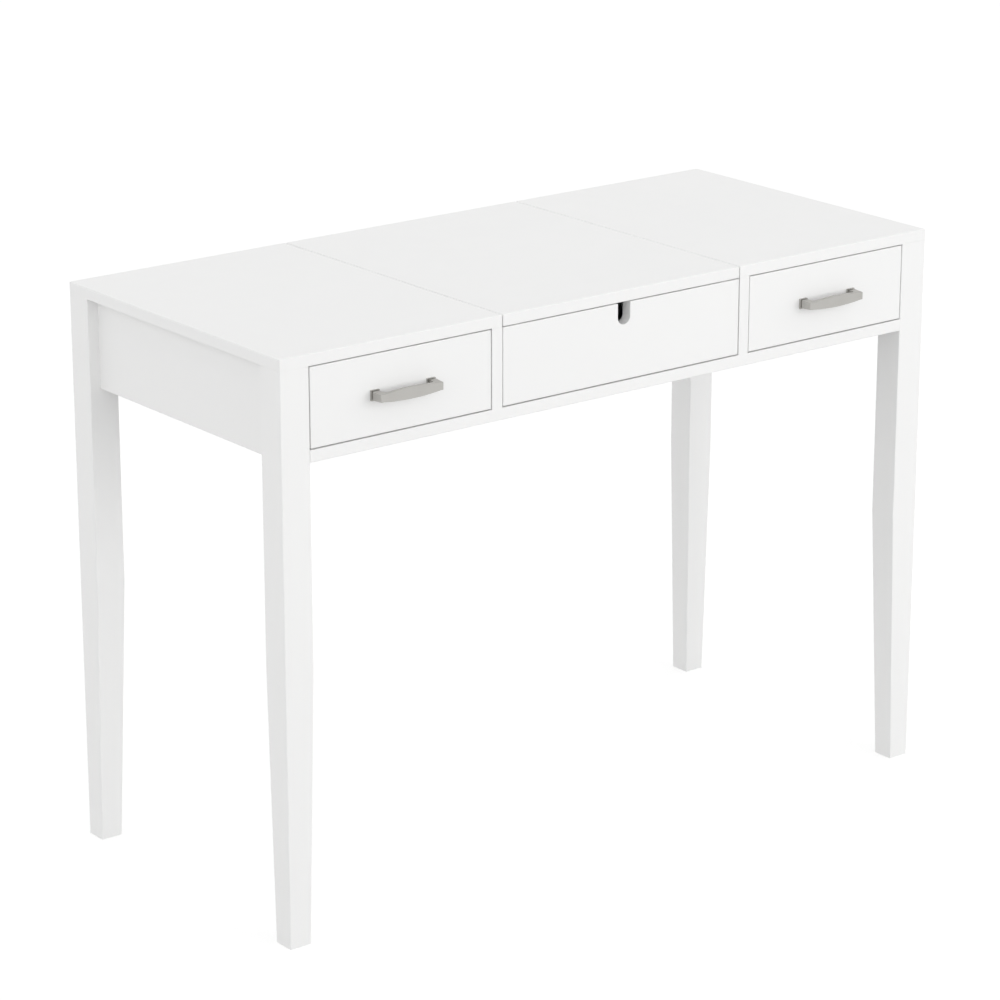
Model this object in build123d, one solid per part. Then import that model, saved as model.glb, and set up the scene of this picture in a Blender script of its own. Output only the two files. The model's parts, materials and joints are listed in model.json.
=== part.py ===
from build123d import *
import os

# White flip-top writing desk, in millimetres.
# X runs to the right, Y runs from the front to the rear, Z is up and 0 on the floor.
# The origin is under the middle of the whole desk, pulls included.
# Left-hand pieces are drawn at negative X and mirrored for the right.

# Whole desk
desk_width = 1060.0
desk_depth = 470.0
desk_height = 762.0
reveal = 1.5
edge_ease = 1.0
butt_ease = 0.3
cut_margin = 1.0
match_tolerance = 0.1

# Top boards
top_thickness = 15.0
lid_width = 389.0
lid_clearance = 0.3

# Legs
leg_size = 42.0
foot_size = 31.0
taper_start_height = 360.0
leg_edge_radius = 1.2

# Frame boards
apron_thickness = 16.0
apron_setback = 15.0
rail_height = 16.0
rail_depth = 60.0
partition_thickness = 16.0
floor_thickness = 15.0
floor_lift = 3.5
packing_height = 40.0

# Drawer fronts and centre front
front_height = 101.5
front_thickness = 16.0
centre_front_thickness = 15.0
notch_width = 20.6
notch_depth = 28.5

# Drawer boxes
box_height = 80.0
box_lift = 9.5
box_board_thickness = 12.0
box_rear_clearance = 15.0
bottom_thickness = 4.0
bottom_groove_depth = 5.0
bottom_groove_height = 8.0
bottom_groove_play = 0.2
bottom_end_play = 0.3

# Ball-bearing slides
slide_travel = 280.0
slide_width = 12.7
slide_height = 35.0
slide_sheet = 1.2
slide_lip = 1.2
slide_setback = 2.0
slide_end_margin = 6.0
slide_flange_overlap = 3.2
ball_radius = 1.75
ball_pitch = 15.0
ball_play = 0.05
ball_hole_play = 0.1
cage_sheet = 0.6
cage_clearance = 0.3
cage_end_margin = 5.0

# Pulls
pull_length = 97.0
pull_projection = 21.2
pull_base_width = 12.0
pull_base_height = 13.4
pull_base_thickness = 3.0
pull_neck_length = 1.4
pull_neck_depth = 1.0
pull_leg_width = 9.8
pull_leg_inset = 0.6
pull_leg_height = 11.8
pull_end_height = 9.7
pull_middle_height = 15.1
pull_arch_end_inset = 6.0
pull_bar_thickness = 4.5
pull_outer_corner = 1.8
pull_inner_corner = 8.0
pull_edge_radius = 0.5
pull_end_taper = 0.8

# Lid hinges
hinge_end_inset = 74.5
hinge_length = 50.0
hinge_leaf_reach = 14.0
hinge_leaf_thickness = 1.2
hinge_barrel_radius = 2.25
hinge_pin_radius = 1.2
hinge_pin_play = 0.05
hinge_knuckle_gap = 0.3
hinge_mortise_play = 0.5
hinge_knuckle_count = 3
hinge_screw_count = 3
hinge_screw_spacing = 17.0

# Lid bumpers
bumper_radius = 4.0
bumper_end_inset = 24.5

# Knock-down fasteners
cam_radius = 7.5
cam_skin = 2.0
cam_distance = 24.0
cam_slot_length = 9.0
cam_slot_width = 1.6
cam_slot_depth = 2.0
bolt_radius = 3.5
bolt_neck_radius = 2.2
bolt_head_length = 3.0
bolt_neck_length = 4.0
bolt_tip_gap = 1.0
thread_radius = 3.0
thread_length = 11.0
dowel_radius = 4.0
dowel_length = 30.0
dowel_edge_depth = 19.0
fastener_play = 0.05
bolt_play = 0.15
end_cam_inset = 26.0
dowel_spacing = 13.0
top_cam_inset = 90.0
floor_cam_end_inset = 74.5
rail_bolt_inset = 14.0
rail_dowel_inset = 31.0
partition_rail_inset = 30.0

# Screws
wood_screw_radius = 1.75
wood_screw_head_radius = 3.3
wood_screw_head_height = 1.9
screw_tip_length = 3.0
screw_tip_radius = 0.4
screw_slot_width = 0.9
screw_slot_share = 1.3
screw_slot_depth = 1.0
hinge_screw_radius = 1.5
hinge_screw_head_radius = 2.8
hinge_screw_head_height = 1.5
hinge_screw_length = 12.0
packing_screw_length = 18.0
slide_screw_length = 13.0
drawer_slide_screw_length = 10.0
box_screw_length = 30.0
front_screw_length = 24.0
case_slide_screw_count = 4
slide_screw_end_inset = 12.0
drawer_slide_screw_count = 3
drawer_slide_screw_end_inset = 30.0
box_screw_top_inset = 12.0
box_screw_groove_gap = 6.0
front_screw_side_inset = 30.0
pull_screw_radius = 2.0
pull_screw_head_radius = 3.8
pull_screw_head_height = 2.4
pull_thread_depth = 12.0
pull_screw_end_gap = 4.0

# Heights
frame_top = desk_height - top_thickness
front_top = frame_top - reveal
front_bottom = front_top - front_height
rail_top = front_bottom - reveal
rail_bottom = rail_top - rail_height
floor_bottom = rail_top + floor_lift
floor_middle = floor_bottom + floor_thickness / 2
box_bottom = rail_top + box_lift
box_top = box_bottom + box_height
slide_centre_z = (box_bottom + box_top) / 2
front_centre_z = (front_bottom + front_top) / 2

# Depths
front_y = -(desk_depth - pull_projection) / 2
rear_y = front_y + desk_depth
front_leg_rear = front_y + leg_size
rear_leg_front = rear_y - leg_size
back_panel_rear = rear_y - apron_setback
back_panel_front = back_panel_rear - apron_thickness
back_panel_middle = (back_panel_front + back_panel_rear) / 2
box_front_y = front_y + front_thickness
box_rear_y = back_panel_front - box_rear_clearance
slide_front_y = box_front_y + slide_setback
slide_length = box_rear_y - slide_end_margin - slide_front_y
top_cam_places = (front_leg_rear + top_cam_inset, rear_leg_front - top_cam_inset)

# Left-hand widths
outer_x = -desk_width / 2
leg_inner_x = outer_x + leg_size
apron_outer_x = outer_x + apron_setback
apron_inner_x = apron_outer_x + apron_thickness
apron_middle_x = (apron_outer_x + apron_inner_x) / 2
lid_x = -lid_width / 2
partition_inner_x = lid_x - reveal
partition_outer_x = partition_inner_x - partition_thickness
partition_middle_x = (partition_inner_x + partition_outer_x) / 2
drawer_left_x = leg_inner_x + reveal
drawer_right_x = partition_outer_x - reveal
drawer_centre_x = (drawer_left_x + drawer_right_x) / 2
box_left_x = leg_inner_x + slide_width
box_right_x = partition_outer_x - slide_width
box_inner_left_x = box_left_x + box_board_thickness
box_inner_right_x = box_right_x - box_board_thickness

# Places along the lid, from its middle
hinge_offset = lid_width / 2 - hinge_end_inset
bumper_offset = lid_width / 2 - bumper_end_inset
floor_cam_offset = lid_width / 2 - floor_cam_end_inset

# Hinge axis, just behind the back panel and level with the lid's underside
hinge_axis_y = back_panel_rear + hinge_barrel_radius + lid_clearance
hinge_axis_z = frame_top - lid_clearance / 2

sides = ("left", "right")
boards = {}
cutters = {}
groups = {}


def block(x_low, x_high, y_low, y_high, z_low, z_high):
    size = (x_high - x_low, y_high - y_low, z_high - z_low)
    return Pos(x_low, y_low, z_low) * Box(*size, align=(Align.MIN, Align.MIN, Align.MIN))


def eased(shape, radius=edge_ease):
    return fillet(shape.edges(), radius)


def top_board(x_low, x_high):
    board = block(x_low, x_high, front_y, rear_y, frame_top, desk_height)
    lower_edges = board.edges().group_by(Axis.Z)[0]
    upper_and_upright = board.edges() - lower_edges
    board = fillet(upper_and_upright, edge_ease)
    return fillet(board.edges().group_by(Axis.Z)[0], butt_ease)


def for_side(shape, side):
    if side == "left":
        return shape
    return shape.mirror(Plane.YZ)


def both_sides(name, shape):
    for side in sides:
        boards[name.format(side=side)] = for_side(shape, side)


def rod(start, direction, length, radius):
    return Solid.make_cylinder(radius, length, Plane(origin=start, z_dir=direction))


def cut_on_both_sides(name, shapes):
    for side in sides:
        node = name.format(side=side)
        cutters.setdefault(node, []).extend(for_side(shape, side) for shape in shapes)


def group_on_both_sides(name, shapes):
    for side in sides:
        node = name.format(side=side)
        groups.setdefault(node, []).extend(for_side(shape, side) for shape in shapes)


def spread(low, high, count):
    step = (high - low) / (count - 1)
    return [low + index * step for index in range(count)]


# Knock-down fasteners


def cam_lock(board_thickness):
    cam_depth = board_thickness - cam_skin
    body = rod((0, 0, -cam_depth), (0, 0, 1), cam_depth, cam_radius)
    channel_start = (0, 0, -board_thickness / 2)
    channel = rod(channel_start, (1, 0, 0), 2 * cam_radius, bolt_radius + bolt_play)
    slot = Box(cam_slot_length, cam_slot_width, 2 * cam_slot_depth)
    cross_slot = Box(cam_slot_width, cam_slot_length, 2 * cam_slot_depth)
    return (body - channel - slot - cross_slot).solid()


def cam_bolt():
    shank_length = cam_distance - bolt_tip_gap - bolt_head_length - bolt_neck_length
    thread = rod((0, 0, 0), (0, 0, 1), thread_length, thread_radius)
    shank = rod((0, 0, 0), (0, 0, -1), shank_length, bolt_radius)
    neck = rod((0, 0, -shank_length), (0, 0, -1), bolt_neck_length, bolt_neck_radius)
    head = rod((0, 0, -shank_length - bolt_neck_length), (0, 0, -1), bolt_head_length, bolt_radius)
    return (thread + shank + neck + head).solid()


def add_cam(board, mate, joint_point, into_board, face_normal, board_thickness):
    joint = Vector(joint_point)
    into = Vector(into_board)
    normal = Vector(face_normal)
    face_centre = joint + into * cam_distance + normal * (board_thickness / 2)
    cam_place = Plane(origin=face_centre, x_dir=-into, z_dir=normal).location
    bolt_place = Plane(origin=joint, z_dir=-into).location
    cam_bore = rod(face_centre, -normal, board_thickness - cam_skin, cam_radius + fastener_play)
    bolt_hole = rod(joint, into, cam_distance, bolt_radius + bolt_play)
    thread_hole = rod(joint, -into, thread_length, thread_radius + fastener_play)
    group_on_both_sides("cam_locks", [cam_place * cam_lock(board_thickness)])
    group_on_both_sides("cam_bolts", [bolt_place * cam_bolt()])
    cut_on_both_sides(board, [cam_bore, bolt_hole])
    cut_on_both_sides(mate, [thread_hole])


def add_dowel(board, mate, joint_point, into_board):
    joint = Vector(joint_point)
    into = Vector(into_board)
    start = joint - into * (dowel_length - dowel_edge_depth)
    dowel = rod(start, into, dowel_length, dowel_radius)
    hole = rod(start, into, dowel_length, dowel_radius + fastener_play)
    group_on_both_sides("dowels", [dowel])
    cut_on_both_sides(board, [hole])
    cut_on_both_sides(mate, [hole])


# Screws, drawn with the top of the head at the origin and the tip down the Z axis


def screw_form(length, radius, head_radius, head_height, grow=0.0):
    tip_start = length - screw_tip_length
    head_plane = Plane(origin=(0, 0, -head_height))
    head = Solid.make_cone(radius + grow, head_radius + grow, head_height, head_plane)
    shank = rod((0, 0, -head_height), (0, 0, -1), tip_start - head_height, radius + grow)
    tip_plane = Plane(origin=(0, 0, -length))
    tip = Solid.make_cone(screw_tip_radius + grow, radius + grow, screw_tip_length, tip_plane)
    return (head + shank + tip).solid()


def cross_recess(width, depth, head_radius):
    arm = head_radius * screw_slot_share
    return Box(arm, width, 2 * depth) + Box(width, arm, 2 * depth)


def add_screw(group, holders, head_point, outward, length, radius, head_radius, head_height):
    place = Plane(origin=head_point, z_dir=outward).location
    recess = cross_recess(screw_slot_width, screw_slot_depth, head_radius)
    screw = (screw_form(length, radius, head_radius, head_height) - recess).solid()
    hole = screw_form(length, radius, head_radius, head_height, fastener_play)
    group_on_both_sides(group, [place * screw])
    for holder in holders:
        cut_on_both_sides(holder, [place * hole])


def add_wood_screw(group, holders, head_point, outward, length):
    head = (wood_screw_radius, wood_screw_head_radius, wood_screw_head_height)
    add_screw(group, holders, head_point, outward, length, *head)


# Legs


def leg_section(size, height):
    centre = Pos(outer_x + size / 2, front_y + size / 2, height)
    return centre * RectangleRounded(size, size, leg_edge_radius)


def leg():
    straight_length = frame_top - taper_start_height
    straight = extrude(leg_section(leg_size, taper_start_height), amount=straight_length)
    foot = leg_section(foot_size, 0)
    taper = loft([foot, leg_section(leg_size, taper_start_height)], ruled=True)
    return (straight + taper).solid()


front_leg = leg()
depth_middle = Plane(origin=(0, (front_y + rear_y) / 2, 0), z_dir=(0, 1, 0))
both_sides("front_{side}_leg", front_leg)
both_sides("rear_{side}_leg", front_leg.mirror(depth_middle))

# Top boards
both_sides("{side}_top_panel", top_board(outer_x, partition_inner_x))
boards["flip_lid"] = top_board(lid_x, -lid_x)

# Frame boards
apron = block(apron_outer_x, apron_inner_x, front_leg_rear, rear_leg_front, rail_bottom, frame_top)
apron_lower_edges = apron.edges().filter_by(Axis.Y).group_by(Axis.Z)[0]
both_sides("{side}_side_apron", fillet(apron_lower_edges, edge_ease))

back_panel_top = frame_top - lid_clearance
boards["back_panel"] = block(
    leg_inner_x, -leg_inner_x, back_panel_front, back_panel_rear, rail_bottom, back_panel_top
)

rail = block(leg_inner_x, -leg_inner_x, front_y, front_y + rail_depth, rail_bottom, rail_top)
rail_lower_edges = rail.edges().filter_by(Axis.X).group_by(Axis.Z)[0]
boards["front_rail"] = fillet(rail_lower_edges, edge_ease)

partition = block(
    partition_outer_x, partition_inner_x, front_y, back_panel_front, rail_top, frame_top
)
both_sides("{side}_partition", partition)

packing = block(
    apron_inner_x,
    leg_inner_x,
    front_leg_rear,
    rear_leg_front,
    slide_centre_z - packing_height / 2,
    slide_centre_z + packing_height / 2,
)
both_sides("{side}_slide_packing", packing)

floor_front_y = front_y + centre_front_thickness
boards["compartment_floor"] = block(
    partition_inner_x,
    -partition_inner_x,
    floor_front_y,
    back_panel_front,
    floor_bottom,
    floor_bottom + floor_thickness,
)


# Centre front with its finger notch


def centre_front():
    panel = eased(block(lid_x, -lid_x, front_y, floor_front_y, front_bottom, front_top))
    half_notch = notch_width / 2
    cut_start = front_y - cut_margin
    cut_end = floor_front_y + cut_margin
    round_centre_z = front_top - notch_depth + half_notch
    round_end = rod((0, cut_start, round_centre_z), (0, 1, 0), cut_end - cut_start, half_notch)
    cut_top = front_top + cut_margin
    straight = block(-half_notch, half_notch, cut_start, cut_end, round_centre_z, cut_top)
    return panel - round_end - straight


boards["centre_front"] = centre_front()

# Rest bumpers for the lid, on the centre front's top edge
bumper_point = (-bumper_offset, front_y + centre_front_thickness / 2, front_top)
bumper = rod(bumper_point, (0, 0, 1), reveal - lid_clearance, bumper_radius)
group_on_both_sides("lid_bumpers", [bumper])

# Board joints, left half, each mirrored to the right
end_cam_heights = (rail_bottom + end_cam_inset, frame_top - end_cam_inset)
dowel_height = end_cam_heights[1] - dowel_spacing
apron_ends = (
    ("front_{side}_leg", front_leg_rear, (0, 1, 0)),
    ("rear_{side}_leg", rear_leg_front, (0, -1, 0)),
)
for leg_name, end_y, into_apron in apron_ends:
    for height in end_cam_heights:
        apron_end = (apron_middle_x, end_y, height)
        add_cam("{side}_side_apron", leg_name, apron_end, into_apron, (1, 0, 0), apron_thickness)
    add_dowel("{side}_side_apron", leg_name, (apron_middle_x, end_y, dowel_height), into_apron)

for height in end_cam_heights:
    panel_end = (leg_inner_x, back_panel_middle, height)
    add_cam("back_panel", "rear_{side}_leg", panel_end, (1, 0, 0), (0, -1, 0), apron_thickness)
    partition_end = (partition_middle_x, back_panel_front, height)
    add_cam("{side}_partition", "back_panel", partition_end, (0, -1, 0), (-1, 0, 0), partition_thickness)
panel_dowel = (leg_inner_x, back_panel_middle, dowel_height)
add_dowel("back_panel", "rear_{side}_leg", panel_dowel, (1, 0, 0))
partition_dowel = (partition_middle_x, back_panel_front, dowel_height)
add_dowel("{side}_partition", "back_panel", partition_dowel, (0, -1, 0))

rail_middle_z = (rail_bottom + rail_top) / 2
rail_end = (leg_inner_x, front_y + rail_bolt_inset, rail_middle_z)
add_cam("front_rail", "front_{side}_leg", rail_end, (1, 0, 0), (0, 0, -1), rail_height)
rail_dowel = (leg_inner_x, front_y + rail_dowel_inset, rail_middle_z)
add_dowel("front_rail", "front_{side}_leg", rail_dowel, (1, 0, 0))

partition_foot = (partition_middle_x, front_y + partition_rail_inset, rail_top)
add_cam("{side}_partition", "front_rail", partition_foot, (0, 0, 1), (-1, 0, 0), partition_thickness)

for place_y in top_cam_places:
    apron_head = (apron_middle_x, place_y, frame_top)
    partition_head = (partition_middle_x, place_y, frame_top)
    floor_side = (partition_inner_x, place_y, floor_middle)
    top_panel_name = "{side}_top_panel"
    add_cam("{side}_side_apron", top_panel_name, apron_head, (0, 0, -1), (1, 0, 0), apron_thickness)
    add_cam("{side}_partition", top_panel_name, partition_head, (0, 0, -1), (-1, 0, 0), partition_thickness)
    add_cam("compartment_floor", "{side}_partition", floor_side, (1, 0, 0), (0, 0, -1), floor_thickness)

floor_nose = (-floor_cam_offset, floor_front_y, floor_middle)
add_cam("compartment_floor", "centre_front", floor_nose, (0, 1, 0), (0, 0, -1), floor_thickness)

for leg_name, leg_y in (("front_{side}_leg", front_y), ("rear_{side}_leg", rear_leg_front)):
    leg_head = (outer_x + leg_size / 2, leg_y + leg_size / 2, frame_top)
    add_dowel(leg_name, "{side}_top_panel", leg_head, (0, 0, -1))


# Drawer boxes


def drawer_boards():
    groove_z = box_bottom + bottom_groove_height
    groove_top = groove_z + bottom_thickness + bottom_groove_play
    inner_y_low = box_front_y + box_board_thickness
    inner_y_high = box_rear_y - box_board_thickness
    groove = block(
        box_inner_left_x - bottom_groove_depth,
        box_inner_right_x + bottom_groove_depth,
        inner_y_low - bottom_groove_depth,
        inner_y_high + bottom_groove_depth,
        groove_z,
        groove_top,
    )
    bottom = block(
        box_inner_left_x - bottom_groove_depth + bottom_end_play,
        box_inner_right_x + bottom_groove_depth - bottom_end_play,
        inner_y_low - bottom_groove_depth + bottom_end_play,
        inner_y_high + bottom_groove_depth - bottom_end_play,
        groove_z,
        groove_z + bottom_thickness,
    )
    left_side = block(box_left_x, box_inner_left_x, box_front_y, box_rear_y, box_bottom, box_top)
    right_side = block(box_inner_right_x, box_right_x, box_front_y, box_rear_y, box_bottom, box_top)
    inner_front = block(
        box_inner_left_x, box_inner_right_x, box_front_y, inner_y_low, box_bottom, box_top
    )
    back = block(box_inner_left_x, box_inner_right_x, inner_y_high, box_rear_y, box_bottom, box_top)
    face = block(drawer_left_x, drawer_right_x, front_y, box_front_y, front_bottom, front_top)
    both_sides("{side}_drawer_front", eased(face))
    both_sides("{side}_drawer_box_front", inner_front - groove)
    both_sides("{side}_drawer_outer_side", left_side - groove)
    both_sides("{side}_drawer_inner_side", right_side - groove)
    both_sides("{side}_drawer_back", back - groove)
    both_sides("{side}_drawer_bottom", bottom)
    return inner_y_low, inner_y_high, groove_top


box_inner_y_low, box_inner_y_high, groove_top_z = drawer_boards()
box_screw_heights = (groove_top_z + box_screw_groove_gap, box_top - box_screw_top_inset)
box_corners = (
    ("{side}_drawer_outer_side", box_left_x, (-1, 0, 0)),
    ("{side}_drawer_inner_side", box_right_x, (1, 0, 0)),
)
box_ends = (
    ("{side}_drawer_box_front", (box_front_y + box_inner_y_low) / 2),
    ("{side}_drawer_back", (box_inner_y_high + box_rear_y) / 2),
)
for side_board, head_x, outward in box_corners:
    for end_board, head_y in box_ends:
        for height in box_screw_heights:
            add_wood_screw(
                "{side}_drawer_box_screws",
                (side_board, end_board),
                (head_x, head_y, height),
                outward,
                box_screw_length,
            )
front_screw_places = (
    box_inner_left_x + front_screw_side_inset,
    box_inner_right_x - front_screw_side_inset,
)
for head_x in front_screw_places:
    for height in box_screw_heights:
        add_wood_screw(
            "{side}_drawer_box_screws",
            ("{side}_drawer_box_front", "{side}_drawer_front"),
            (head_x, box_inner_y_low, height),
            (0, 1, 0),
            front_screw_length,
        )


# Slides, drawn with the case face at X = 0, the drawer face at X = slide_width and Y = 0 at the front

ball_x = slide_width / 2
outer_half = slide_height / 2
outer_flange_low = outer_half - slide_sheet
ball_height = outer_flange_low - ball_play - ball_radius
inner_half = ball_height - ball_radius - ball_play
case_flange_end = slide_width - slide_flange_overlap
drawer_flange_end = slide_flange_overlap


def slide_section(pieces, length):
    shape = None
    for x_low, x_high, z_low, z_high in pieces:
        bar = block(x_low, x_high, 0, length, z_low, z_high)
        shape = bar if shape is None else shape + bar
    return shape


def case_member():
    pieces = [(0, slide_sheet, -outer_half, outer_half)]
    for sign in (-1, 1):
        flange = sorted((sign * outer_flange_low, sign * outer_half))
        lip = sorted((sign * (outer_flange_low - slide_lip), sign * outer_half))
        pieces.append((0, case_flange_end, *flange))
        pieces.append((case_flange_end - slide_sheet, case_flange_end, *lip))
    return slide_section(pieces, slide_length)


def drawer_member():
    web_low = slide_width - slide_sheet
    pieces = [(web_low, slide_width, -inner_half, inner_half)]
    for sign in (-1, 1):
        flange = sorted((sign * (inner_half - slide_sheet), sign * inner_half))
        lip = sorted((sign * (inner_half - slide_sheet), sign * (inner_half + slide_lip)))
        pieces.append((drawer_flange_end, slide_width, *flange))
        pieces.append((drawer_flange_end, drawer_flange_end + slide_sheet, *lip))
    return slide_section(pieces, slide_length)


cage_length = slide_length - slide_travel - 2 * cage_end_margin
cage_front = slide_travel / 2 + cage_end_margin
ball_count = int(cage_length // ball_pitch)
ball_row_length = (ball_count - 1) * ball_pitch
first_ball_y = cage_front + (cage_length - ball_row_length) / 2
ball_places = spread(first_ball_y, first_ball_y + ball_row_length, ball_count)


def ball_cage():
    web_low = slide_sheet + cage_sheet
    strip_end = case_flange_end - slide_sheet - cage_clearance
    strip_low = ball_height - cage_sheet / 2
    strip_high = ball_height + cage_sheet / 2
    pieces = [(web_low, web_low + cage_sheet, -strip_high, strip_high)]
    pieces.append((web_low, strip_end, strip_low, strip_high))
    pieces.append((web_low, strip_end, -strip_high, -strip_low))
    cage = Pos(0, cage_front, 0) * slide_section(pieces, cage_length)
    balls = []
    holes = []
    for place_y in ball_places:
        hole_start = (ball_x, place_y, -outer_half)
        holes.append(rod(hole_start, (0, 0, 1), slide_height, ball_radius + ball_hole_play))
        for height in (-ball_height, ball_height):
            balls.append(Pos(ball_x, place_y, height) * Solid.make_sphere(ball_radius, angle1=-90))
    return [(cage - holes).solid()] + balls


def place_slide(shape, face_x, direction):
    turned = shape if direction > 0 else shape.mirror(Plane.YZ)
    return Pos(face_x, slide_front_y, slide_centre_z) * turned


slide_mounts = (
    ("outer", leg_inner_x, 1, packing_screw_length),
    ("inner", partition_outer_x, -1, slide_screw_length),
)
slide_rear_y = slide_front_y + slide_length
case_screw_places = spread(
    slide_front_y + slide_screw_end_inset,
    slide_rear_y - slide_screw_end_inset,
    case_slide_screw_count,
)
drawer_screw_places = spread(
    slide_front_y + drawer_slide_screw_end_inset,
    slide_rear_y - drawer_slide_screw_end_inset,
    drawer_slide_screw_count,
)
slide_holders = {
    "outer": ("front_{side}_leg", "{side}_slide_packing", "{side}_side_apron"),
    "inner": ("{side}_partition",),
}
for end, face_x, direction, case_screw_length in slide_mounts:
    case_name = "{side}_drawer_" + end + "_case_slide"
    drawer_name = "{side}_drawer_" + end + "_slide"
    both_sides(case_name, place_slide(case_member(), face_x, direction))
    both_sides(drawer_name, place_slide(drawer_member(), face_x, direction))
    cage_pieces = [place_slide(piece, face_x, direction) for piece in ball_cage()]
    group_on_both_sides("{side}_drawer_ball_cages", cage_pieces)
    case_head_x = face_x + direction * slide_sheet
    for place_y in case_screw_places:
        head_point = (case_head_x, place_y, slide_centre_z)
        holders = (case_name,) + slide_holders[end]
        add_wood_screw("slide_screws", holders, head_point, (direction, 0, 0), case_screw_length)
    drawer_head_x = face_x + direction * (slide_width - slide_sheet)
    box_board = "{side}_drawer_" + end + "_side"
    for place_y in drawer_screw_places:
        head_point = (drawer_head_x, place_y, slide_centre_z)
        add_wood_screw(
            "{side}_drawer_slide_screws",
            (drawer_name, box_board),
            head_point,
            (-direction, 0, 0),
            drawer_slide_screw_length,
        )


# Pulls, drawn about X = 0 with the drawer front's face at Y = 0 and the bar at negative Y


def pull():
    base_middle = (pull_length - pull_base_width) / 2
    outer_x_low = pull_length / 2 - pull_leg_inset
    outer_x_high = outer_x_low - pull_end_taper
    inner_x = pull_length / 2 - pull_leg_inset - pull_leg_width
    bar_front = pull_projection
    bar_rear = pull_projection - pull_bar_thickness
    plan = make_face(
        Polyline(
            (-outer_x_low, 0),
            (-outer_x_high, -bar_front),
            (outer_x_high, -bar_front),
            (outer_x_low, 0),
            (inner_x, 0),
            (inner_x, -bar_rear),
            (-inner_x, -bar_rear),
            (-inner_x, 0),
            close=True,
        )
    )
    front_corners = plan.vertices().group_by(Axis.Y)[0]
    plan = fillet(front_corners, pull_outer_corner)
    rear_corners = plan.vertices().filter_by(lambda corner: abs(corner.Y + bar_rear) < match_tolerance)
    plan = fillet(rear_corners, pull_inner_corner)
    bow = extrude(plan, amount=pull_length, both=True)
    half_end = pull_end_height / 2
    half_middle = pull_middle_height / 2
    half_leg = pull_leg_height / 2
    end_x = pull_length / 2
    arch_x = end_x - pull_arch_end_inset
    arch_edges = Curve() + [
        Line((-end_x, -half_end), (-arch_x, -half_end)),
        ThreePointArc((-arch_x, -half_end), (0, -half_middle), (arch_x, -half_end)),
        Line((arch_x, -half_end), (end_x, -half_end)),
        Line((end_x, -half_end), (end_x, half_end)),
        Line((end_x, half_end), (arch_x, half_end)),
        ThreePointArc((arch_x, half_end), (0, half_middle), (-arch_x, half_end)),
        Line((-arch_x, half_end), (-end_x, half_end)),
        Line((-end_x, half_end), (-end_x, -half_end)),
    ]
    arch = extrude(make_face(Plane.XZ * arch_edges), amount=pull_length, both=True)
    leg_profile = make_face(
        Polyline(
            (0, -half_leg),
            (-bar_rear, -half_end),
            (-bar_front, -half_end),
            (-bar_front, half_end),
            (-bar_rear, half_end),
            (0, half_leg),
            close=True,
        )
    )
    leg_slope = extrude(Plane.YZ * leg_profile, amount=pull_length, both=True)
    shape = bow & (arch + leg_slope)
    front_limit = -bar_front + match_tolerance
    front_edges = shape.edges().filter_by(lambda edge: edge.center().Y < front_limit)
    shape = fillet(front_edges.filter_by(Axis.Z, reverse=True), pull_edge_radius)
    neck_end = pull_base_thickness + pull_neck_length
    for sign in (-1, 1):
        base_x_low = sign * base_middle - pull_base_width / 2
        base_x_high = sign * base_middle + pull_base_width / 2
        half_base = pull_base_height / 2
        base = block(base_x_low, base_x_high, -pull_base_thickness, 0, -half_base, half_base)
        neck = block(
            base_x_low + pull_leg_inset + pull_neck_depth,
            base_x_high - pull_leg_inset - pull_neck_depth,
            -neck_end,
            0,
            pull_neck_depth - half_leg,
            half_leg - pull_neck_depth,
        )
        room = block(
            base_x_low - cut_margin,
            base_x_high + cut_margin,
            -neck_end,
            0,
            -half_base - cut_margin,
            half_base + cut_margin,
        )
        shape = shape - room + neck + base
    for sign in (-1, 1):
        bore_start = (sign * base_middle, 0, 0)
        shape = shape - rod(bore_start, (0, -1, 0), pull_thread_depth, pull_screw_radius + fastener_play)
    return shape.solid()


pull_screw_spacing = pull_length - pull_base_width
both_sides("{side}_drawer_pull", Pos(drawer_centre_x, front_y, front_centre_z) * pull())
for sign in (-1, 1):
    head_x = drawer_centre_x + sign * pull_screw_spacing / 2
    seat = (head_x, box_inner_y_low, front_centre_z)
    tip_y = front_y - pull_thread_depth + pull_screw_end_gap
    shank_length = box_inner_y_low - tip_y
    shank = rod(seat, (0, -1, 0), shank_length, pull_screw_radius)
    head = rod(seat, (0, 1, 0), pull_screw_head_height, pull_screw_head_radius)
    recess_place = Plane(
        origin=(head_x, box_inner_y_low + pull_screw_head_height, front_centre_z), z_dir=(0, 1, 0)
    ).location
    recess = recess_place * cross_recess(screw_slot_width, screw_slot_depth, pull_screw_head_radius)
    group_on_both_sides("{side}_drawer_pull_screws", [(shank + head - recess).solid()])
    hole = rod(seat, (0, -1, 0), shank_length, pull_screw_radius + fastener_play)
    cut_on_both_sides("{side}_drawer_box_front", [hole])
    cut_on_both_sides("{side}_drawer_front", [hole])


# Lid hinges, left one drawn and mirrored

hinge_x_low = -hinge_offset - hinge_length / 2
hinge_x_high = -hinge_offset + hinge_length / 2
knuckle_ends = spread(hinge_x_low, hinge_x_high, hinge_knuckle_count + 1)
knuckles = list(zip(knuckle_ends, knuckle_ends[1:]))
frame_knuckles = knuckles[0::2]
lid_knuckles = knuckles[1::2]


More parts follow.
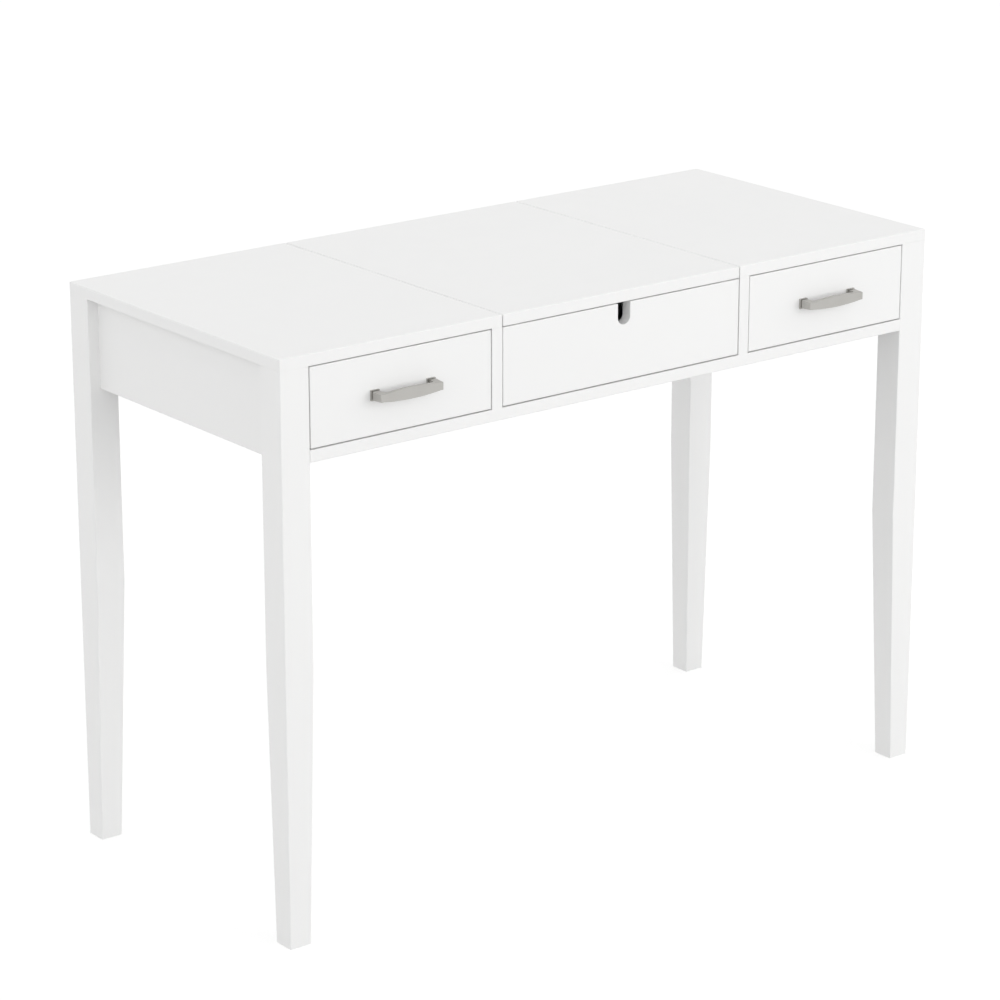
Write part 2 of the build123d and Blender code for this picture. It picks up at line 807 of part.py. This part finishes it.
def hinge_leaf(own_knuckles, other_knuckles, sign):
    face_levels = (
        hinge_axis_z + sign * hinge_barrel_radius,
        hinge_axis_z + sign * (hinge_barrel_radius - hinge_leaf_thickness),
    )
    leaf = block(
        hinge_x_low,
        hinge_x_high,
        hinge_axis_y - hinge_leaf_reach,
        hinge_axis_y,
        min(face_levels),
        max(face_levels),
    )
    barrel_room = hinge_barrel_radius + hinge_knuckle_gap
    for x_low, x_high in other_knuckles:
        leaf = leaf - block(
            x_low - hinge_knuckle_gap,
            x_high + hinge_knuckle_gap,
            hinge_axis_y - barrel_room,
            hinge_axis_y + barrel_room,
            hinge_axis_z - barrel_room,
            hinge_axis_z + barrel_room,
        )
    for x_low, x_high in own_knuckles:
        barrel_start = (x_low, hinge_axis_y, hinge_axis_z)
        leaf = leaf + rod(barrel_start, (1, 0, 0), x_high - x_low, hinge_barrel_radius)
    bore_radius = hinge_pin_radius + hinge_pin_play
    return leaf - rod((hinge_x_low, hinge_axis_y, hinge_axis_z), (1, 0, 0), hinge_length, bore_radius)


both_sides("{side}_hinge_frame_leaf", hinge_leaf(frame_knuckles, lid_knuckles, -1))
both_sides("{side}_hinge_lid_leaf", hinge_leaf(lid_knuckles, frame_knuckles, 1))
hinge_pin = rod((hinge_x_low, hinge_axis_y, hinge_axis_z), (1, 0, 0), hinge_length, hinge_pin_radius)
group_on_both_sides("hinge_pins", [hinge_pin])

mortise_x_low = hinge_x_low - hinge_mortise_play
mortise_x_high = hinge_x_high + hinge_mortise_play
mortise_front_y = hinge_axis_y - hinge_leaf_reach - hinge_mortise_play
barrel_room = hinge_barrel_radius + hinge_mortise_play
lid_mortise = block(
    mortise_x_low,
    mortise_x_high,
    mortise_front_y,
    hinge_axis_y,
    frame_top - cut_margin,
    hinge_axis_z + hinge_barrel_radius,
)
barrel_mortise = block(
    mortise_x_low,
    mortise_x_high,
    hinge_axis_y - barrel_room,
    hinge_axis_y + barrel_room,
    frame_top - cut_margin,
    hinge_axis_z + barrel_room,
)
frame_mortise = block(
    mortise_x_low,
    mortise_x_high,
    mortise_front_y,
    back_panel_rear + cut_margin,
    hinge_axis_z - hinge_barrel_radius,
    frame_top,
)
cut_on_both_sides("flip_lid", [lid_mortise, barrel_mortise])
cut_on_both_sides("back_panel", [frame_mortise])

leaf_inner_gap = hinge_barrel_radius - hinge_leaf_thickness
hinge_screw_head = (hinge_screw_radius, hinge_screw_head_radius, hinge_screw_head_height)
screw_row_length = (hinge_screw_count - 1) * hinge_screw_spacing
screw_row_low = -hinge_offset - screw_row_length / 2
for screw_x in spread(screw_row_low, screw_row_low + screw_row_length, hinge_screw_count):
    lid_head = (screw_x, back_panel_middle, hinge_axis_z + leaf_inner_gap)
    frame_head = (screw_x, back_panel_middle, hinge_axis_z - leaf_inner_gap)
    lid_holders = ("{side}_hinge_lid_leaf", "flip_lid")
    frame_holders = ("{side}_hinge_frame_leaf", "back_panel")
    add_screw("lid_hinge_screws", lid_holders, lid_head, (0, 0, -1), hinge_screw_length, *hinge_screw_head)
    add_screw(
        "frame_hinge_screws", frame_holders, frame_head, (0, 0, 1), hinge_screw_length, *hinge_screw_head
    )

# Cut every hole and write one file for each piece or group of equal fasteners
os.makedirs("parts", exist_ok=True)
for name, shape in boards.items():
    if name in cutters:
        shape = shape - cutters[name]
    export_step(shape.solid(), f"parts/{name}.step")
for name, solids in groups.items():
    export_step(Compound(solids), f"parts/{name}.step")

print("slide length", slide_length)
print("cage length", cage_length, "balls in a row", ball_count)
print("hinge axis", hinge_axis_y, hinge_axis_z)
print("pieces", len(boards) + len(groups))
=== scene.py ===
import json

import bpy
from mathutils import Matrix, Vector


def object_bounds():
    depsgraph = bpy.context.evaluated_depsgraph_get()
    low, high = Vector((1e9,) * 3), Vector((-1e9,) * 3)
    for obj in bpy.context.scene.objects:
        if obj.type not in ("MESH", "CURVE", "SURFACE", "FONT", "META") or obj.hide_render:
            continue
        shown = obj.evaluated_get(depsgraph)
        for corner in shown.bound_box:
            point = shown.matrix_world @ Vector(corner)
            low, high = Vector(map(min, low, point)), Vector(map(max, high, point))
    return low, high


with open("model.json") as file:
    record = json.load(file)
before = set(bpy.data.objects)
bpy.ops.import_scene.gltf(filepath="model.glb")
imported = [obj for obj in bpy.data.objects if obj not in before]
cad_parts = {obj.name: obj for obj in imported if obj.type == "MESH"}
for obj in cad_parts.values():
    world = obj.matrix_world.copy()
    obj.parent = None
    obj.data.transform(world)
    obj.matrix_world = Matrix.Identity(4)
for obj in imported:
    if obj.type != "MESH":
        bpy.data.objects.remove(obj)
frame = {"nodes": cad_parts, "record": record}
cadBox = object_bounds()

# White flip-top writing desk: materials, floor, light and camera. Lengths are in metres.
print("desk pieces loaded:", len(frame["nodes"]))

deskLow, deskHigh = cadBox
deskCentre = (deskLow + deskHigh) / 2


# Node helpers

# how far the patterns move from piece to piece, and the part of a noise that is spread out
patternShift = 9.0
noiseLow = 0.3
noiseHigh = 0.7


def startMaterial(name):
    material = bpy.data.materials.new(name)
    material.use_nodes = True
    tree = material.node_tree
    shader = tree.nodes["Principled BSDF"]
    return material, tree, shader


def addNode(tree, kind, settings=None, **inputs):
    node = tree.nodes.new(kind)
    for key, value in (settings or {}).items():
        setattr(node, key, value)
    for key, value in inputs.items():
        socket = node.inputs[int(key[1:])] if key[0] == "i" and key[1:].isdigit() else node.inputs[key]
        if isinstance(value, bpy.types.NodeSocket):
            tree.links.new(value, socket)
        else:
            socket.default_value = value
    return node


def mathOf(tree, operation, first, second, clamped=False):
    settings = {"operation": operation, "use_clamp": clamped}
    return addNode(tree, "ShaderNodeMath", settings, i0=first, i1=second).outputs[0]


def mapOf(tree, value, fromLow, fromHigh, toLow, toHigh):
    return addNode(
        tree, "ShaderNodeMapRange", None, i0=value, i1=fromLow, i2=fromHigh, i3=toLow, i4=toHigh
    ).outputs["Result"]


def pieceCoordinates(tree, stretch=(1, 1, 1)):
    # rides with each piece, and shifts from piece to piece so that no two boards match
    coordinates = addNode(tree, "ShaderNodeTexCoord")
    pieceInfo = addNode(tree, "ShaderNodeObjectInfo")
    shift = mathOf(tree, "MULTIPLY", pieceInfo.outputs["Random"], patternShift)
    moved = addNode(
        tree, "ShaderNodeVectorMath", {"operation": "ADD"}, i0=coordinates.outputs["Object"], i1=shift
    )
    scaled = addNode(
        tree, "ShaderNodeVectorMath", {"operation": "MULTIPLY"}, i0=moved.outputs[0], i1=stretch
    )
    return scaled.outputs[0]


def noiseOf(tree, vector, size, detail=2.0, roughness=0.5):
    return addNode(
        tree, "ShaderNodeTexNoise", None, Vector=vector, Scale=1 / size, Detail=detail, Roughness=roughness
    ).outputs["Fac"]


def spreadOf(tree, value, low, high):
    return mapOf(tree, value, noiseLow, noiseHigh, low, high)


def blendOf(tree, factor, first, second):
    # inputs 6 and 7 are the mix node's two colours
    mix = addNode(tree, "ShaderNodeMix", {"data_type": "RGBA"}, i0=factor, i6=(*first, 1), i7=(*second, 1))
    return mix.outputs[2]


def seenDirectly(tree):
    # 1 where the camera looks, straight or by way of a shiny or clear piece
    rays = addNode(tree, "ShaderNodeLightPath")
    straight = mathOf(tree, "MAXIMUM", rays.outputs["Is Camera Ray"], rays.outputs["Is Glossy Ray"])
    return mathOf(tree, "MAXIMUM", straight, rays.outputs["Is Transmission Ray"])


def bumpOf(tree, height, distance, strength=1.0, under=None):
    bump = addNode(tree, "ShaderNodeBump", None, Strength=strength, Distance=distance, Height=height)
    if under is not None:
        tree.links.new(under, bump.inputs["Normal"])
    return bump.outputs["Normal"]


# Satin white paint on fibreboard

paint = {
    "light": (0.912, 0.912, 0.906),
    "deep": (0.897, 0.897, 0.893),
    "cloudSize": 0.22,
    "peelSize": 0.0028,
    "peelHeight": 0.00002,
    "rollSize": 0.03,
    "rollHeight": 0.00005,
    "smoothest": 0.32,
    "roughest": 0.40,
    "ior": 1.48,
}


def whitePaint():
    material, tree, shader = startMaterial("satinWhitePaint")
    place = pieceCoordinates(tree)
    clouds = noiseOf(tree, place, paint["cloudSize"], 3.0)
    peel = noiseOf(tree, place, paint["peelSize"], 1.0)
    rolls = noiseOf(tree, place, paint["rollSize"], 2.0)
    colour = blendOf(tree, clouds, paint["light"], paint["deep"])
    tree.links.new(colour, shader.inputs["Base Color"])
    gloss = spreadOf(tree, rolls, paint["smoothest"], paint["roughest"])
    tree.links.new(gloss, shader.inputs["Roughness"])
    wavy = bumpOf(tree, rolls, paint["rollHeight"])
    tree.links.new(bumpOf(tree, peel, paint["peelHeight"], 1.0, wavy), shader.inputs["Normal"])
    shader.inputs["IOR"].default_value = paint["ior"]
    return material


# White foil on the drawer boxes

foil = {
    "light": (0.87, 0.87, 0.862),
    "deep": (0.845, 0.845, 0.838),
    "cloudSize": 0.12,
    "pebbleSize": 0.0011,
    "pebbleHeight": 0.00003,
    "smoothest": 0.42,
    "roughest": 0.52,
}


def drawerFoil():
    material, tree, shader = startMaterial("whiteDrawerFoil")
    place = pieceCoordinates(tree)
    clouds = noiseOf(tree, place, foil["cloudSize"], 3.0)
    pebbles = noiseOf(tree, place, foil["pebbleSize"], 2.0)
    colour = blendOf(tree, clouds, foil["light"], foil["deep"])
    tree.links.new(colour, shader.inputs["Base Color"])
    gloss = spreadOf(tree, clouds, foil["smoothest"], foil["roughest"])
    tree.links.new(gloss, shader.inputs["Roughness"])
    tree.links.new(bumpOf(tree, pebbles, foil["pebbleHeight"]), shader.inputs["Normal"])
    return material


# Metals: a colour, a fine brushing along one direction and slow stains


def brushedMetal(name, look):
    material, tree, shader = startMaterial(name)
    lines = noiseOf(tree, pieceCoordinates(tree, look["brushStretch"]), look["brushSize"], 3.0)
    stains = noiseOf(tree, pieceCoordinates(tree), look["stainSize"], 3.0)
    colour = blendOf(tree, stains, look["light"], look["deep"])
    tree.links.new(colour, shader.inputs["Base Color"])
    gloss = spreadOf(tree, lines, look["smoothest"], look["roughest"])
    tree.links.new(gloss, shader.inputs["Roughness"])
    tree.links.new(bumpOf(tree, lines, look["brushHeight"]), shader.inputs["Normal"])
    shader.inputs["Metallic"].default_value = 1.0
    return material


nickel = {
    "light": (0.508, 0.50, 0.477),
    "deep": (0.472, 0.461, 0.44),
    "stainSize": 0.02,
    "brushSize": 0.0006,
    "brushStretch": (0.04, 1, 1),
    "brushHeight": 0.000008,
    "smoothest": 0.36,
    "roughest": 0.48,
}

zincSteel = {
    "light": (0.70, 0.715, 0.73),
    "deep": (0.60, 0.615, 0.63),
    "stainSize": 0.035,
    "brushSize": 0.0008,
    "brushStretch": (1, 0.03, 1),
    "brushHeight": 0.00001,
    "smoothest": 0.28,
    "roughest": 0.42,
}

platedSteel = {
    "light": (0.68, 0.67, 0.65),
    "deep": (0.60, 0.59, 0.57),
    "stainSize": 0.006,
    "brushSize": 0.0005,
    "brushStretch": (1, 1, 1),
    "brushHeight": 0.000005,
    "smoothest": 0.22,
    "roughest": 0.34,
}

castZinc = {
    "light": (0.56, 0.57, 0.58),
    "deep": (0.44, 0.45, 0.46),
    "stainSize": 0.004,
    "brushSize": 0.0007,
    "brushStretch": (1, 1, 1),
    "brushHeight": 0.00003,
    "smoothest": 0.45,
    "roughest": 0.6,
}


# Fluted beech dowels

beech = {
    "light": (0.72, 0.54, 0.36),
    "deep": (0.58, 0.40, 0.25),
    "grainSize": 0.0025,
    "grainStretch": (0.12, 0.12, 1),
    "grainHeight": 0.00006,
    "roughness": 0.6,
}


def beechWood():
    material, tree, shader = startMaterial("beechWood")
    grain = noiseOf(tree, pieceCoordinates(tree, beech["grainStretch"]), beech["grainSize"], 4.0)
    colour = blendOf(tree, grain, beech["light"], beech["deep"])
    tree.links.new(colour, shader.inputs["Base Color"])
    tree.links.new(bumpOf(tree, grain, beech["grainHeight"]), shader.inputs["Normal"])
    shader.inputs["Roughness"].default_value = beech["roughness"]
    return material


# Milky rest bumpers

bumper = {
    "light": (0.86, 0.86, 0.84),
    "deep": (0.78, 0.78, 0.76),
    "cloudSize": 0.003,
    "roughness": 0.3,
    "softness": 0.25,
    "softDepth": (0.002, 0.002, 0.002),
}


def milkyRubber():
    material, tree, shader = startMaterial("milkyRubber")
    clouds = noiseOf(tree, pieceCoordinates(tree), bumper["cloudSize"], 2.0)
    colour = blendOf(tree, clouds, bumper["light"], bumper["deep"])
    tree.links.new(colour, shader.inputs["Base Color"])
    shader.inputs["Roughness"].default_value = bumper["roughness"]
    shader.inputs["Subsurface Weight"].default_value = bumper["softness"]
    shader.inputs["Subsurface Radius"].default_value = bumper["softDepth"]
    return material


# Dress every piece by the slot it carries

finishes = {
    "white_paint": whitePaint(),
    "drawer_board": drawerFoil(),
    "satin_nickel": brushedMetal("satinNickel", nickel),
    "slide_steel": brushedMetal("zincSlideSteel", zincSteel),
    "plated_steel": brushedMetal("platedScrewSteel", platedSteel),
    "zinc": brushedMetal("castZinc", castZinc),
    "beech": beechWood(),
    "clear_rubber": milkyRubber(),
}

for part in frame["record"]["subparts"]:
    node = frame["nodes"][part["node"]]
    for slot in node.material_slots:
        slot.material = finishes[part["material_slot"]]
print("finishes laid on:", len(finishes))


# Floor, which shows white and keeps the desk's shadow

floor = {
    "side": 60.0,
    "colour": (0.5, 0.5, 0.5, 1),
    "glow": 0.59,
}


def layFloor():
    half = floor["side"] / 2
    mesh = bpy.data.meshes.new("studioFloor")
    corners = [(-half, -half, 0), (half, -half, 0), (half, half, 0), (-half, half, 0)]
    mesh.from_pydata(corners, [], [(0, 1, 2, 3)])
    sheet = bpy.data.objects.new("studioFloor", mesh)
    bpy.context.scene.collection.objects.link(sheet)
    material = bpy.data.materials.new("studioFloor")
    material.use_nodes = True
    tree = material.node_tree
    tree.nodes.clear()
    lift = mathOf(tree, "MULTIPLY", seenDirectly(tree), floor["glow"])
    matt = addNode(tree, "ShaderNodeBsdfDiffuse", None, Color=floor["colour"])
    glow = addNode(tree, "ShaderNodeEmission", None, Color=(1, 1, 1, 1), Strength=lift)
    both = addNode(tree, "ShaderNodeAddShader", None, i0=matt.outputs[0], i1=glow.outputs[0])
    addNode(tree, "ShaderNodeOutputMaterial", None, Surface=both.outputs[0])
    mesh.materials.append(material)


layFloor()


# Light: a white room, brighter near the horizon than overhead, and one large soft lamp in front

room = {
    "horizon": 2.02,
    "horizonNarrowing": 2.0,
    "overhead": 0.66,
    "seen": 1.0,
    "lampPower": 45.0,
    "lampSide": 3.0,
    "lampPlace": (1.9, -5.0, 1.7),
}


def lightRoom():
    world = bpy.data.worlds.new("whiteRoom")
    bpy.context.scene.world = world
    world.use_nodes = True
    tree = world.node_tree
    tree.nodes.clear()
    direction = addNode(tree, "ShaderNodeTexCoord")
    height = addNode(tree, "ShaderNodeSeparateXYZ", None, Vector=direction.outputs["Generated"])
    lowness = mathOf(tree, "SUBTRACT", 1.0, height.outputs["Z"], True)
    band = mathOf(tree, "POWER", lowness, room["horizonNarrowing"])
    fill = mapOf(tree, band, 0.0, 1.0, room["overhead"], room["horizon"])
    strength = mapOf(tree, seenDirectly(tree), 0.0, 1.0, fill, room["seen"])
    sky = addNode(tree, "ShaderNodeBackground", None, Color=(1, 1, 1, 1), Strength=strength)
    addNode(tree, "ShaderNodeOutputWorld", None, Surface=sky.outputs[0])

    lampData = bpy.data.lights.new("frontLamp", "AREA")
    lampData.shape = "SQUARE"
    lampData.size = room["lampSide"]
    lampData.energy = room["lampPower"]
    lamp = bpy.data.objects.new("frontLamp", lampData)
    bpy.context.scene.collection.objects.link(lamp)
    lamp.location = room["lampPlace"]
    towards = deskCentre - lamp.location
    lamp.rotation_euler = towards.to_track_quat("-Z", "Y").to_euler()
    lamp.visible_glossy = False  # it lights the desk and never shows in the paint's sheen


lightRoom()
print("floor and light ready")


# Camera at the photograph's viewing angle

view = {
    "lens": 130.1,
    "sensor": 36.0,
    "place": (-2.854, -3.6157, 1.918),
    "aim": (-0.0066, 0.0223, 0.4212),
}


def setCamera():
    cameraData = bpy.data.cameras.new("deskCamera")
    cameraData.lens = view["lens"]
    cameraData.sensor_width = view["sensor"]
    camera = bpy.data.objects.new("deskCamera", cameraData)
    bpy.context.scene.collection.objects.link(camera)
    camera.location = view["place"]
    towards = Vector(view["aim"]) - camera.location
    camera.rotation_euler = towards.to_track_quat("-Z", "Y").to_euler()
    bpy.context.scene.camera = camera


setCamera()
bpy.context.scene.view_settings.view_transform = "Standard"
print("camera set")
